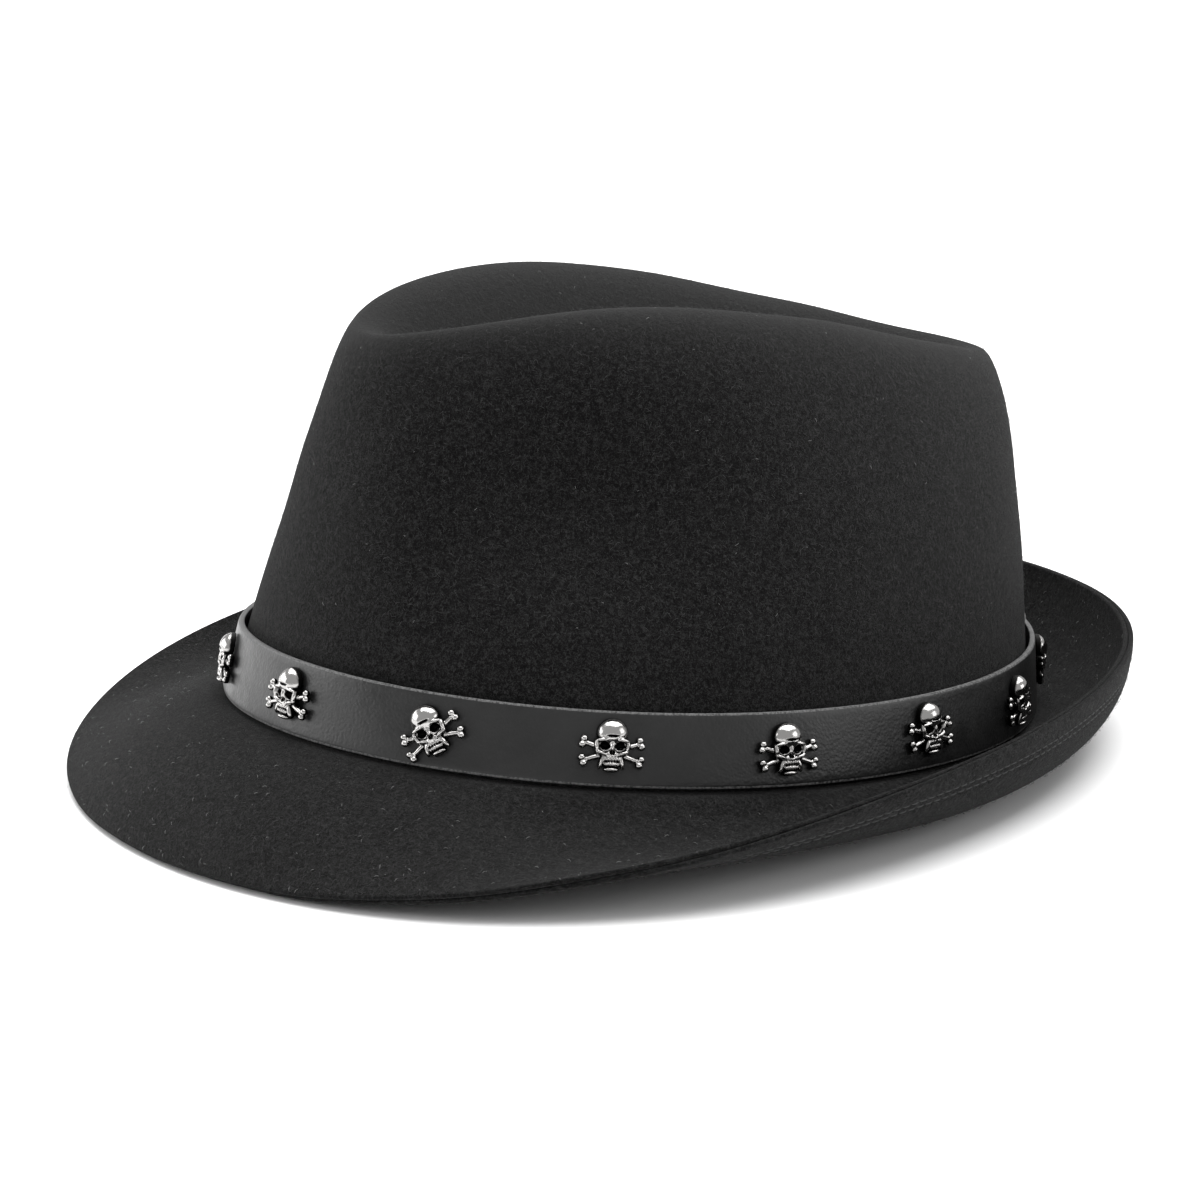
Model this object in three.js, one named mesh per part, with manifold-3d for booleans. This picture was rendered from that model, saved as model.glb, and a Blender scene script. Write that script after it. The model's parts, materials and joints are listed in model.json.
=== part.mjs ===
// A felt trilby with a stitched, doubled brim, a lined crown and a leather hatband carrying a row of
// skull-and-crossbones studs. Units are millimetres.
//
// Everything is first drawn about the hat's own upright axis: z = 0 where the brim meets the crown, the
// front faces -y and the wearer's left is +x. The hat is then tipped back onto the surface it rests on.
//
// A turn is the angle round the head: 0 at the front, growing towards the wearer's left.
// A value that changes round the head is a wave list: its mean, then one, two and three waves a turn.

import * as THREE from 'three';
import { mergeVertices } from 'three/addons/utils/BufferGeometryUtils.js';
import Module from 'manifold-3d';

const wasm = await Module();
wasm.setup();

// ---- driving dimensions ---------------------------------------------------------------------------

// The head oval, measured on the outside of the hatband.
const bandHalfWidth = 90.5;
const bandHalfLength = bandHalfWidth * 1.17;
const frontBluntness = 0.02;
const breakHeight = [-1.2, 0, 1];

// Thicknesses, and the gap left between neighbouring pieces.
const gap = 0.35;
const crownFelt = 2;
const brimFelt = 0.8;
const brimStiffener = 0.3;
const liningCloth = 0.5;
const sweatbandLeather = 1;
const strapLeather = 1.4;
const washerThickness = 0.5;

// The brim: how wide it is outside the hatband, and its slope in degrees where it starts and ends.
const brimWidth = [38.4, 6.8];
const brimStartSlope = [-23.3, -9.3, 31.3];
const brimEndSlope = [41, -77, -34.7, 1];
const breakBlend = 8;
const brimRings = 5;
const stepsPerRing = 6;

// The crown: an outward-bulging wall from the head oval up to a narrow crest round a sunken valley.
const crestHalfWidth = 37.7;
const crestHalfLength = 87.6;
const crestSetBack = 6.9;
const crestHeight = [95.4, 6, -6, -1.6];
const wallTaper = [0.51, 0.19];
const shoulderPower = 2.24;
const wallRings = 10;
const valleyHalfLength = 58;
const valleyHeight = [74.4, 4.95, 0, -0.55];
const valleyRings = 4;

// The pinch: a thumb dent pressed into each side of the crown's front.
const pinchDepth = 10;
const pinchTurn = THREE.MathUtils.degToRad(55);
const pinchSpread = THREE.MathUtils.degToRad(21);
const pinchHeight = 0.6;
const pinchTall = 0.22;

// The hatband and its studs. The band has crept round a little towards the wearer's right.
const strapWidth = 17.4;
const strapColumns = 72;
const bandCreep = -9.6;
const studCount = 14;
const studSpacing = 43.2;
const studStagger = 0.4;
const turnedStud = 8;
const turnedStudAngle = THREE.MathUtils.degToRad(35);
const postRadius = 1.2;
const washerRadius = 2.8;
const lapLength = 20;
const climbLength = 8;
const lapRivetSpread = 8;
const lapRivet = { radius: 2.6, height: 1.2, shoulderOut: 0.7, shoulderUp: 0.75, sides: 12 };
const postSides = 8;

// A stud: a skull of two low domes, a cranium over a jaw, on crossed bones with splayed ends.
const domeProfile = [[0, 0], [1, 0], [1, 0.35], [0.75, 0.8], [0, 1]];
const domeSides = 8;
const cranium = { halfWidth: 4.4, halfHeight: 4.6, depth: 3.4, middle: 1.9 };
const jaw = { halfWidth: 3, halfHeight: 3.2, depth: 2.6, middle: -3 };
const crossedBone = { length: 15.6, thickness: 1.4, middle: -1, tilt: THREE.MathUtils.degToRad(18) };
const knobLength = 0.9;
const knobSpread = 1.08;

// Inside the hat: how far the sweatband hangs below the wall, its reed, and the label on it.
const sweatbandHang = 0.9;
const reedRadius = 0.9;
const reedSides = 6;
const tipSeamOpening = 0.06;
const labelHalfAngle = 0.12;
const labelRise = [0.07, 0.2];
const labelSteps = 4;

const columns = 48;
const fullTurn = 2 * Math.PI;

// Each layer's distance out from the crown's outer face, worked out from the face outwards.
const washerFrom = gap;
const washerTo = washerFrom + washerThickness;
const strapFrom = washerTo + gap;
const strapTo = strapFrom + strapLeather;
const studFrom = strapTo + gap;
const lapFrom = strapTo + gap;
const lapTo = lapFrom + strapLeather;

// The same inwards, as negative distances.
const liningTo = -(crownFelt + gap);
const liningFrom = liningTo - liningCloth;
const sweatbandTo = liningFrom - gap;
const sweatbandFrom = sweatbandTo - sweatbandLeather;
const labelTo = sweatbandFrom - 2 * gap;
const labelCloth = 0.4;

const crownInset = strapTo;

// ---- surfaces -------------------------------------------------------------------------------------

function waves(list, turn) {
  return list.reduce((sum, size, count) => sum + size * Math.cos(count * turn), 0);
}

function bell(distance) {
  return Math.exp(-distance * distance);
}

function ovalPoint(turn, inset) {
  const bluntness = 1 + frontBluntness * Math.cos(turn);
  return new THREE.Vector3(
    (bandHalfWidth - inset) * Math.sin(turn) * bluntness,
    -(bandHalfLength - inset) * Math.cos(turn),
    waves(breakHeight, turn),
  );
}

function outward(turn) {
  return new THREE.Vector3(Math.sin(turn) / bandHalfWidth, -Math.cos(turn) / bandHalfLength, 0).normalize();
}

function crestPoint(turn) {
  return new THREE.Vector3(
    crestHalfWidth * Math.sin(turn),
    crestSetBack - crestHalfLength * Math.cos(turn),
    waves(crestHeight, turn),
  );
}

// A point on the crown's wall, where up runs from 0 at its foot to 1 on the crest.
function wallPoint(turn, up) {
  const foot = ovalPoint(turn, crownInset);
  const crest = crestPoint(turn);
  const taper = waves(wallTaper, turn);
  const shoulder = 1 - (1 - up ** shoulderPower) ** (1 / shoulderPower);
  const inward = taper * up + (1 - taper) * shoulder;
  const point = foot.clone().lerp(crest, inward);
  point.z = foot.z + (crest.z - foot.z) * up;
  const fromFront = Math.abs(Math.atan2(Math.sin(turn), Math.cos(turn)));
  const across = bell((fromFront - pinchTurn) / pinchSpread);
  const along = bell((up - pinchHeight) / pinchTall) * (1 - up ** 6);
  return point.addScaledVector(outward(turn), -pinchDepth * across * along);
}

// A point inside the crest, where sink runs from 0 on the crest to 1 on the valley's floor line.
function valleyPoint(turn, sink) {
  const crest = crestPoint(turn);
  const along = crestSetBack - valleyHalfLength * Math.cos(turn);
  const floor = new THREE.Vector3(0, along, waves(valleyHeight, turn));
  const point = crest.clone().lerp(floor, sink);
  const drop = Math.sin((sink * Math.PI) / 2) ** 2;
  point.z = THREE.MathUtils.lerp(crest.z, floor.z, drop);
  return point;
}

// The brim's section at one turn: pairs of how far out and how far up, starting at the crown's face.
function brimSection(turn) {
  const width = waves(brimWidth, turn) + crownInset;
  const start = THREE.MathUtils.degToRad(waves(brimStartSlope, turn));
  const end = THREE.MathUtils.degToRad(waves(brimEndSlope, turn));
  const stepCount = brimRings * stepsPerRing;
  const section = [];
  let out = 0;
  let up = 0;
  for (let step = 0; step <= stepCount; step += 1) {
    if (step % stepsPerRing === 0) {
      section.push([out, up]);
    }
    const share = (step + 0.5) / stepCount;
    const blend = THREE.MathUtils.smoothstep(share * width, 0, breakBlend);
    const slope = blend * (start + (end - start) * share);
    out += (width / stepCount) * Math.cos(slope);
    up += (width / stepCount) * Math.sin(slope);
  }
  return section;
}

// ---- sheets and solids ----------------------------------------------------------------------------

function ring(pointAt) {
  return Array.from({ length: columns }, (_, column) => pointAt((fullTurn * column) / columns));
}

function steps(count, valueAt) {
  return Array.from({ length: count + 1 }, (_, step) => valueAt(step / count));
}

// A sheet is a grid of points with a normal at each. A closed sheet joins its last column to its first,
// and a zipped one also folds its last row shut along the hat's middle.
function sheet(rows, { closed = true, zipped = false } = {}) {
  const width = rows[0].length;
  const normals = rows.map((row) => row.map(() => new THREE.Vector3()));
  for (let row = 0; row < rows.length - 1; row += 1) {
    for (let column = 0; column < (closed ? width : width - 1); column += 1) {
      const next = (column + 1) % width;
      const rising = rows[row + 1][next].clone().sub(rows[row][column]);
      const falling = rows[row + 1][column].clone().sub(rows[row][next]);
      const face = rising.cross(falling);
      for (const [r, c] of [[row, column], [row, next], [row + 1, column], [row + 1, next]]) {
        normals[r][c].add(face);
      }
    }
  }
  if (zipped) {
    const last = normals.at(-1);
    last.forEach((normal, column) => {
      const twin = last[(width - column) % width];
      const sum = normal.clone().add(twin);
      normal.copy(sum);
      twin.copy(sum);
    });
  }
  normals.flat().forEach((normal) => normal.normalize());
  return { rows, normals, closed, zipped };
}

function part(whole, first, last) {
  const zipped = whole.zipped && last === whole.rows.length - 1;
  return {
    ...whole,
    rows: whole.rows.slice(first, last + 1),
    normals: whole.normals.slice(first, last + 1),
    zipped,
  };
}

function geometryFrom(points, triangles) {
  const geometry = new THREE.BufferGeometry();
  const position = new Float32Array(points.flatMap((point) => point.toArray()));
  geometry.setAttribute('position', new THREE.BufferAttribute(position, 3));
  geometry.setIndex(triangles.flat());
  return mergeVertices(geometry);
}

// The solid between two distances along a sheet's normals.
function shell({ rows, normals, closed, zipped }, from, to, extra = () => 0) {
  const width = rows[0].length;
  const lastRow = rows.length - 1;
  const lastColumn = width - 1;
  const count = rows.length * width;
  const offset = (distance) => rows.flatMap((row, r) => row.map((point, c) => (
    point.clone().addScaledVector(normals[r][c], distance + extra(c)))));
  const outer = (row, column) => row * width + (column % width);
  const inner = (row, column) => count + outer(row, column);
  const triangles = [];
  const quad = (a, b, c, d) => triangles.push([a, b, c], [a, c, d]);
  for (let column = 0; column < (closed ? width : lastColumn); column += 1) {
    const next = column + 1;
    for (let row = 0; row < lastRow; row += 1) {
      quad(outer(row, column), outer(row, next), outer(row + 1, next), outer(row + 1, column));
      quad(inner(row, column), inner(row + 1, column), inner(row + 1, next), inner(row, next));
    }
    quad(outer(0, next), outer(0, column), inner(0, column), inner(0, next));
    if (!zipped) {
      quad(outer(lastRow, column), outer(lastRow, next), inner(lastRow, next), inner(lastRow, column));
    }
  }
  if (!closed) {
    for (let row = 0; row < lastRow; row += 1) {
      quad(outer(row, 0), outer(row + 1, 0), inner(row + 1, 0), inner(row, 0));
      quad(
        outer(row + 1, lastColumn), outer(row, lastColumn),
        inner(row, lastColumn), inner(row + 1, lastColumn),
      );
    }
  }
  return geometryFrom([...offset(to), ...offset(from)], triangles);
}

// A round cord closed on itself round the head.
function hoop(centreAt, radius, sides) {
  const rows = Array.from({ length: sides }, (_, side) => {
    const angle = (fullTurn * side) / sides;
    return ring((turn) => centreAt(turn)
      .addScaledVector(outward(turn), radius * Math.cos(angle))
      .add(new THREE.Vector3(0, 0, radius * Math.sin(angle))));
  });
  const at = (row, column) => (row % sides) * columns + (column % columns);
  const triangles = [];
  for (let row = 0; row < sides; row += 1) {
    for (let column = 0; column < columns; column += 1) {
      triangles.push([at(row, column), at(row, column + 1), at(row + 1, column + 1)]);
      triangles.push([at(row, column), at(row + 1, column + 1), at(row + 1, column)]);
    }
  }
  return geometryFrom(rows.flat(), triangles);
}

function toSolid(geometry) {
  const bare = geometry.clone();
  bare.deleteAttribute('normal');
  bare.deleteAttribute('uv');
  const merged = mergeVertices(bare);
  return new wasm.Manifold(new wasm.Mesh({
    numProp: 3,
    vertProperties: new Float32Array(merged.attributes.position.array),
    triVerts: new Uint32Array(merged.index.array),
  }));
}

function fromSolid(solid) {
  const mesh = solid.getMesh();
  const geometry = new THREE.BufferGeometry();
  geometry.setAttribute('position', new THREE.BufferAttribute(mesh.vertProperties, 3));
  geometry.setIndex([...mesh.triVerts]);
  return geometry;
}

function join(...geometries) {
  return fromSolid(geometries.map(toSolid).reduce((sum, solid) => sum.add(solid)));
}

// ---- materials and meshes -------------------------------------------------------------------------

const finishes = {
  felt: { color: 0x2c2c2e, roughness: 0.95, metalness: 0 },
  stiffener: { color: 0x1f1f20, roughness: 0.9, metalness: 0 },
  satin: { color: 0x18181b, roughness: 0.45, metalness: 0 },
  sweatbandLeather: { color: 0x232224, roughness: 0.6, metalness: 0 },
  reed: { color: 0x2a2a2c, roughness: 0.5, metalness: 0 },
  label: { color: 0x3a3a3d, roughness: 0.8, metalness: 0 },
  strapLeather: { color: 0x1b1b1d, roughness: 0.5, metalness: 0 },
  studMetal: { color: 0x8d8c88, roughness: 0.3, metalness: 1 },
  rivetMetal: { color: 0x77767a, roughness: 0.35, metalness: 1 },
};

const hat = new THREE.Group();

function addMesh(name, geometry, finish) {
  const mesh = new THREE.Mesh(geometry, new THREE.MeshStandardMaterial(finishes[finish]));
  mesh.name = name;
  hat.add(mesh);
  return mesh;
}

// ---- the crown and what lines it ------------------------------------------------------------------

const wallRise = (share) => Math.sin((share * Math.PI) / 2) ** (2 / shoulderPower);
const wallRows = steps(wallRings, (share) => ring((turn) => wallPoint(turn, wallRise(share))));
const valleyRows = steps(valleyRings, (share) => ring((turn) => valleyPoint(turn, share)));
const crownSheet = sheet([...wallRows, ...valleyRows.slice(1)], { zipped: true });
crownSheet.normals[0].forEach((normal) => normal.setZ(0).normalize());

const lastCrownRow = crownSheet.rows.length - 1;
const sweatbandTopRow = 2;
const liningSeamRow = wallRings - 2;

function lowered(points, depth) {
  return points.map((point) => point.clone().setZ(point.z - depth));
}

function addCrown() {
  const standing = { ...crownSheet, rows: [lowered(wallRows[0], -gap), ...crownSheet.rows.slice(1)] };
  addMesh('crown_felt', shell(standing, -crownFelt, 0), 'felt');
}

// The lining is a side panel and an oval tip, seamed where the wall turns over into the shoulder.
function addLining() {
  addMesh('lining_side_panel', shell(part(crownSheet, 1, liningSeamRow), liningFrom, liningTo), 'satin');
  const tip = part(crownSheet, liningSeamRow, lastCrownRow);
  const hem = tip.rows[0].map((point, column) => point.clone().lerp(tip.rows[1][column], tipSeamOpening));
  const openTip = { ...tip, rows: [hem, ...tip.rows.slice(1)] };
  addMesh('lining_tip', shell(openTip, liningFrom, liningTo), 'satin');
}

// The sweatband stands inside the wall, on a thin reed that stiffens the head opening.
function addSweatband() {
  const rows = [lowered(wallRows[0], sweatbandHang), ...wallRows.slice(0, sweatbandTopRow + 1)];
  const footNormals = crownSheet.normals[0];
  const normals = [footNormals, ...crownSheet.normals.slice(0, sweatbandTopRow + 1)];
  addMesh('sweatband', shell({ ...crownSheet, rows, normals, zipped: false }, sweatbandFrom, sweatbandTo),
    'sweatbandLeather');
  const reedInset = crownInset - (sweatbandFrom + sweatbandTo) / 2;
  const reedDepth = sweatbandHang + gap + reedRadius;
  const reedCentre = (turn) => ovalPoint(turn, reedInset).sub(new THREE.Vector3(0, 0, reedDepth));
  addMesh('sweatband_reed', hoop(reedCentre, reedRadius, reedSides), 'reed');
}

// A blank cloth tab on the sweatband at the back of the head.
function addLabel() {
  const rows = labelRise.map((up) => (
    steps(labelSteps, (share) => wallPoint(Math.PI + labelHalfAngle * (2 * share - 1), up))));
  addMesh('blank_label', shell(sheet(rows, { closed: false }), labelTo - labelCloth, labelTo), 'label');
}

// ---- the brim -------------------------------------------------------------------------------------

// Two felt plies with a stiffener between them. The sheet faces down, so its distances grow downwards
// from the brim's upper face, and its first ring lies under the crown's wall.
function addBrim() {
  const sections = Array.from({ length: columns }, (_, column) => brimSection((fullTurn * column) / columns));
  const rings = steps(brimRings, (share) => ring((turn) => {
    const column = Math.round((turn * columns) / fullTurn);
    const [out, up] = sections[column][Math.round(share * brimRings)];
    return ovalPoint(turn, crownInset).addScaledVector(outward(turn), out).add(new THREE.Vector3(0, 0, up));
  }));
  const underWall = ring((turn) => ovalPoint(turn, crownInset + crownFelt));
  const brimSheet = sheet([underWall, ...rings]);
  const stiffenerFrom = brimFelt + gap;
  const stiffenerTo = stiffenerFrom + brimStiffener;
  const lowerFrom = stiffenerTo + gap;
  addMesh('brim_upper_felt', shell(brimSheet, 0, brimFelt), 'felt');
  addMesh('brim_stiffener', shell(brimSheet, stiffenerFrom, stiffenerTo), 'stiffener');
  addMesh('brim_lower_felt', shell(brimSheet, lowerFrom, lowerFrom + brimFelt), 'felt');
}

// ---- the hatband ----------------------------------------------------------------------------------

// Turns along the band's oval, looked up by arc length from the front.
const arcSteps = 1440;
const arcTable = [0];
for (let step = 1; step <= arcSteps; step += 1) {
  const here = ovalPoint((fullTurn * step) / arcSteps, 0);
  const before = ovalPoint((fullTurn * (step - 1)) / arcSteps, 0);
  arcTable.push(arcTable[step - 1] + here.distanceTo(before));
}
const bandLength = arcTable[arcSteps];

function turnAt(arc) {
  const wrapped = ((arc % bandLength) + bandLength) % bandLength;
  const step = arcTable.findIndex((length) => length > wrapped);
  const share = (wrapped - arcTable[step - 1]) / (arcTable[step] - arcTable[step - 1]);
  return (fullTurn * (step - 1 + share)) / arcSteps + fullTurn * Math.floor(arc / bandLength);
}

// The slanting face that the band lies along: a point and axes for whatever is fixed to it.
const bandFoot = 2 * gap;
const bandFaceTop = 0.2;
const turnNudge = 0.01;

function bandPoint(turn, height) {
  const low = wallPoint(turn, 0);
  const high = wallPoint(turn, bandFaceTop);
  const slope = high.clone().sub(low).normalize();
  return low.addScaledVector(slope, bandFoot + height);
}

function bandPlace(arc, height) {
  const turn = turnAt(arc);
  const origin = bandPoint(turn, height);
  const along = bandPoint(turn + turnNudge, height).sub(bandPoint(turn - turnNudge, height)).normalize();
  const rising = bandPoint(turn, height + 1).sub(origin);
  const out = along.clone().cross(rising).normalize();
  const up = out.clone().cross(along);
  return new THREE.Matrix4().makeBasis(along, up, out).setPosition(origin);
}

const jointArc = bandCreep + bandLength / 2;

function bodyOfRevolution(profile, sides) {
  const points = profile.map(([radius, height]) => new THREE.Vector2(radius, height));
  return new THREE.LatheGeometry(points, sides).rotateX(Math.PI / 2);
}

function post(radius, from, to) {
  return new THREE.CylinderGeometry(radius, radius, to - from, postSides)
    .rotateX(Math.PI / 2)
    .translate(0, 0, (from + to) / 2);
}

function studArc(index) {
  return bandCreep + (index - (studCount - 1) / 2) * studSpacing;
}

function studPlace(index) {
  const stagger = index % 2 ? studStagger : -studStagger;
  const place = bandPlace(studArc(index), strapWidth / 2 + stagger);
  const angle = index === turnedStud ? turnedStudAngle : 0;
  return place.multiply(new THREE.Matrix4().makeRotationZ(angle));
}

const lapRivetHeights = [-lapRivetSpread / 2, lapRivetSpread / 2].map((height) => strapWidth / 2 + height);

// One strip of leather. Its second end climbs over its first and is riveted to it.
function addStrap() {
  const length = bandLength + lapLength;
  const startArc = jointArc - bandLength - lapLength / 2;
  const climbTo = length - lapLength - 1;
  const climbFrom = climbTo - climbLength;
  const arcs = steps(strapColumns, (share) => startArc + share * length);
  const rows = [0, strapWidth].map((height) => arcs.map((arc) => bandPoint(turnAt(arc), height)));
  const climb = (column) => (lapFrom - strapFrom)
    * THREE.MathUtils.smoothstep((column / strapColumns) * length, climbFrom, climbTo);
  const strip = toSolid(shell(sheet(rows, { closed: false }), strapFrom, strapTo, climb));
  const holeRadius = postRadius + gap;
  const studHoles = Array.from({ length: studCount }, (_, index) => studPlace(index));
  const rivetHoles = lapRivetHeights.map((height) => bandPlace(jointArc, height));
  const drill = post(holeRadius, -gap, lapTo + 2 * gap);
  const holed = [...studHoles, ...rivetHoles].reduce(
    (solid, place) => solid.subtract(toSolid(drill.clone().applyMatrix4(place))), strip);
  addMesh('hatband_strap', fromSolid(holed), 'strapLeather');
}

function addLapRivets() {
  const { radius, height, shoulderOut, shoulderUp, sides } = lapRivet;
  const capFrom = lapTo + gap;
  const profile = [
    [0, washerFrom], [radius, washerFrom], [radius, washerTo], [postRadius, washerTo],
    [postRadius, capFrom], [radius, capFrom], [radius * shoulderOut, capFrom + height * shoulderUp],
    [0, capFrom + height],
  ];
  lapRivetHeights.forEach((place, index) => {
    const geometry = bodyOfRevolution(profile, sides).applyMatrix4(bandPlace(jointArc, place));
    addMesh(`lap_rivet_${index + 1}`, geometry, 'rivetMetal');
  });
}

// A bone is a bar that splays at each end, drawn along x.
function bone({ length, thickness, tilt, middle }, side) {
  const half = length / 2;
  const bar = thickness / 2;
  const neck = half - thickness * knobLength;
  const splay = thickness * knobSpread;
  const outline = new THREE.Shape([
    [neck, -bar], [half, -splay], [half, splay], [neck, bar],
    [-neck, bar], [-half, splay], [-half, -splay], [-neck, -bar],
  ].map(([x, y]) => new THREE.Vector2(x, y)));
  return new THREE.ExtrudeGeometry(outline, { depth: thickness, bevelEnabled: false })
    .rotateZ(side * tilt)
    .translate(0, middle, studFrom);
}

// A low dome on a flat oval base.
function dome({ halfWidth, halfHeight, depth, middle }) {
  return bodyOfRevolution(domeProfile, domeSides)
    .scale(halfWidth, halfHeight, depth)
    .translate(0, middle, studFrom);
}

// A plain skull on crossed bones, with the post it turns on. It faces +z with the skull's top towards +y.
function studGeometry() {
  const bones = [1, -1].map((side) => bone(crossedBone, side));
  const postTop = studFrom + crossedBone.thickness / 2;
  return join(dome(cranium), dome(jaw), ...bones, post(postRadius, washerFrom, postTop));
}

function washerGeometry() {
  const bore = postRadius + gap;
  return bodyOfRevolution([
    [bore, washerFrom], [washerRadius, washerFrom], [washerRadius, washerTo], [bore, washerTo],
    [bore, washerFrom],
  ], postSides);
}

function addStuds() {
  const stud = studGeometry();
  const washer = washerGeometry();
  for (let index = 0; index < studCount; index += 1) {
    const number = String(index + 1).padStart(2, '0');
    addMesh(`skull_stud_${number}`, stud.clone().applyMatrix4(studPlace(index)), 'studMetal');
    addMesh(`stud_washer_${number}`, washer.clone().applyMatrix4(studPlace(index)), 'rivetMetal');
  }
}

addCrown();
addLining();
addSweatband();
addLabel();
addBrim();
addStrap();
addLapRivets();
addStuds();

// ---- resting on a table ---------------------------------------------------------------------------

// The hat rests on the brim's front edge and on its underside behind the crown. The angle that brings
// both to one level comes from those two lowest points.
const brimThickness = 2 * brimFelt + brimStiffener + 2 * gap;
const [frontOut, frontUp] = brimSection(0).at(-1);
const frontSlope = THREE.MathUtils.degToRad(waves(brimEndSlope, 0));
const frontLow = new THREE.Vector2(
  -(bandHalfLength - crownInset + frontOut) - brimThickness * Math.sin(frontSlope),
  waves(breakHeight, 0) + frontUp - brimThickness * Math.cos(frontSlope),
);
const rearLow = new THREE.Vector2(bandHalfLength, waves(breakHeight, Math.PI) - brimThickness);
const restPitch = Math.atan2(rearLow.y - frontLow.y, rearLow.x - frontLow.x);

hat.rotation.x = -restPitch;
const object = new THREE.Group();
object.add(hat);
object.updateMatrixWorld(true);
const box = new THREE.Box3().setFromObject(object, true);
const middle = box.getCenter(new THREE.Vector3());
hat.position.set(-middle.x, -middle.y, -box.min.z);

export default object;
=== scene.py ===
"""The looks of a felt trilby with a stitched brim and a leather hatband of skull-and-crossbones studs.

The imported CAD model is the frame. Every soft piece is drawn again here at a finer grain, on the CAD's
surfaces, to which the felt adds a slow swell and a slightly deeper pinch. It is drawn first in millimetres
about the hat's own upright axis, with z = 0 about where the brim meets the crown, the front facing -y and
the wearer's left at +x. It is then placed in the frame.

A turn is the angle round the head: 0 at the front, growing towards the wearer's left.
A value that changes round the head is a wave list: its mean, then one, two and three waves a turn.
"""

import json
import math

import bmesh
import bpy
import numpy as np
from mathutils import Matrix, Vector


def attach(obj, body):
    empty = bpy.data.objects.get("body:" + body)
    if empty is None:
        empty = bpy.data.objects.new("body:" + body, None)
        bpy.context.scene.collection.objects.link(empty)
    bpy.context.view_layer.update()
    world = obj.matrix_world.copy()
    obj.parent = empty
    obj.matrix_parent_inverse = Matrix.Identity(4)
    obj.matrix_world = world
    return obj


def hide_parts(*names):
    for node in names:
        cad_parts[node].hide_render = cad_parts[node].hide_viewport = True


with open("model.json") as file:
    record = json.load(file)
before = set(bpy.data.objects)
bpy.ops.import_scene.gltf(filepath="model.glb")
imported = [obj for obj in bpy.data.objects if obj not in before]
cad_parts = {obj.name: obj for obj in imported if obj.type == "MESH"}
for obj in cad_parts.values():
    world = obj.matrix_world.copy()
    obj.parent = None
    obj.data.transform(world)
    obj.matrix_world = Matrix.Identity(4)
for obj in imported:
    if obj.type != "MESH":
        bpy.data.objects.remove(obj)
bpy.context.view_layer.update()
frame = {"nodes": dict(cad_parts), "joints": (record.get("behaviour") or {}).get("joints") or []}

MM = 0.001
FULL_TURN = 2 * math.pi

# ---- driving dimensions, in millimetres ---------------------------------------------------------------

# The head oval, measured on the outside of the hatband.
BAND_HALF_WIDTH = 90.5
BAND_HALF_LENGTH = BAND_HALF_WIDTH * 1.17
FRONT_BLUNTNESS = 0.02
BREAK_HEIGHT = [-1.2, 0, 1]

# The layers of the wall, as distances out from the crown's outer face.
GAP = 0.35
CROWN_FELT = 2.0
STRAP_FROM = 1.2
STRAP_LEATHER = 1.4
STRAP_TO = STRAP_FROM + STRAP_LEATHER
CROWN_INSET = STRAP_TO
LAP_FROM = STRAP_TO + GAP
STUD_FROM = STRAP_TO + GAP
LINING_TO = -(CROWN_FELT + GAP)
LINING_CLOTH = 0.5
SWEATBAND_TO = LINING_TO - LINING_CLOTH - GAP
SWEATBAND_LEATHER = 1.0
LABEL_TO = SWEATBAND_TO - SWEATBAND_LEATHER - 2 * GAP
LABEL_CLOTH = 0.4

# The brim: its width outside the hatband, and its slope in degrees where it starts and ends.
BRIM_WIDTH = [38.4, 6.8]
BRIM_START_SLOPE = [-23.3, -9.3, 31.3]
BRIM_END_SLOPE = [41, -77, -34.7, 1]
BREAK_BLEND = 8.0
BRIM_THICKNESS = 2.6
BRIM_STIFFENER = 0.3

# The crown: an outward-bulging wall from the head oval up to a narrow crest round a sunken valley.
CREST_HALF_WIDTH = 37.7
CREST_HALF_LENGTH = 87.6
CREST_SET_BACK = 6.9
CREST_HEIGHT = [95.4, 6, -6, -1.6]
WALL_TAPER = [0.51, 0.19]
SHOULDER_POWER = 2.24
VALLEY_HALF_LENGTH = 58.0
VALLEY_HEIGHT = [74.4, 4.95, 0, -0.55]

# The pinch: a thumb dent pressed into each side of the crown's front, 2.5 mm deeper than the CAD's.
PINCH_DEPTH = 12.5
PINCH_TURN = math.radians(55)
PINCH_SPREAD = math.radians(21)
PINCH_HEIGHT = 0.6
PINCH_TALL = 0.22
PINCH_FADE = 6

# The hatband and its studs.
STRAP_WIDTH = 17.4
BAND_FOOT = 2 * GAP
BAND_LEAN = 0.2
TURN_NUDGE = 0.01
BAND_CREEP = -9.6
STUD_COUNT = 14
STUD_SPACING = 43.2
STUD_STAGGER = 0.4
TURNED_STUD = 8
TURNED_STUD_ANGLE = math.radians(35)
LAP_LENGTH = 20.0
CLIMB_LENGTH = 8.0

# How finely the pieces are drawn.
COLUMNS = 240
QUARTER = COLUMNS // 4
WELD = 0.02
WALL_ROWS = 44
VALLEY_ROWS = 20


# ---- surfaces -----------------------------------------------------------------------------------------

def waves(sizes, turn):
    return sum(size * np.cos(count * turn) for count, size in enumerate(sizes))


def bell(distance):
    return np.exp(-distance * distance)


def smooth_step(value, low, high):
    share = np.clip((value - low) / (high - low), 0, 1)
    return share * share * (3 - 2 * share)


def stack(x, y, z):
    return np.stack(np.broadcast_arrays(x, y, z), axis=-1).astype(float)


def unit(vectors):
    return vectors / np.maximum(np.linalg.norm(vectors, axis=-1, keepdims=True), 1e-12)


def oval_point(turn, inset):
    bluntness = 1 + FRONT_BLUNTNESS * np.cos(turn)
    return stack(
        (BAND_HALF_WIDTH - inset) * np.sin(turn) * bluntness,
        -(BAND_HALF_LENGTH - inset) * np.cos(turn),
        waves(BREAK_HEIGHT, turn),
    )


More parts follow.
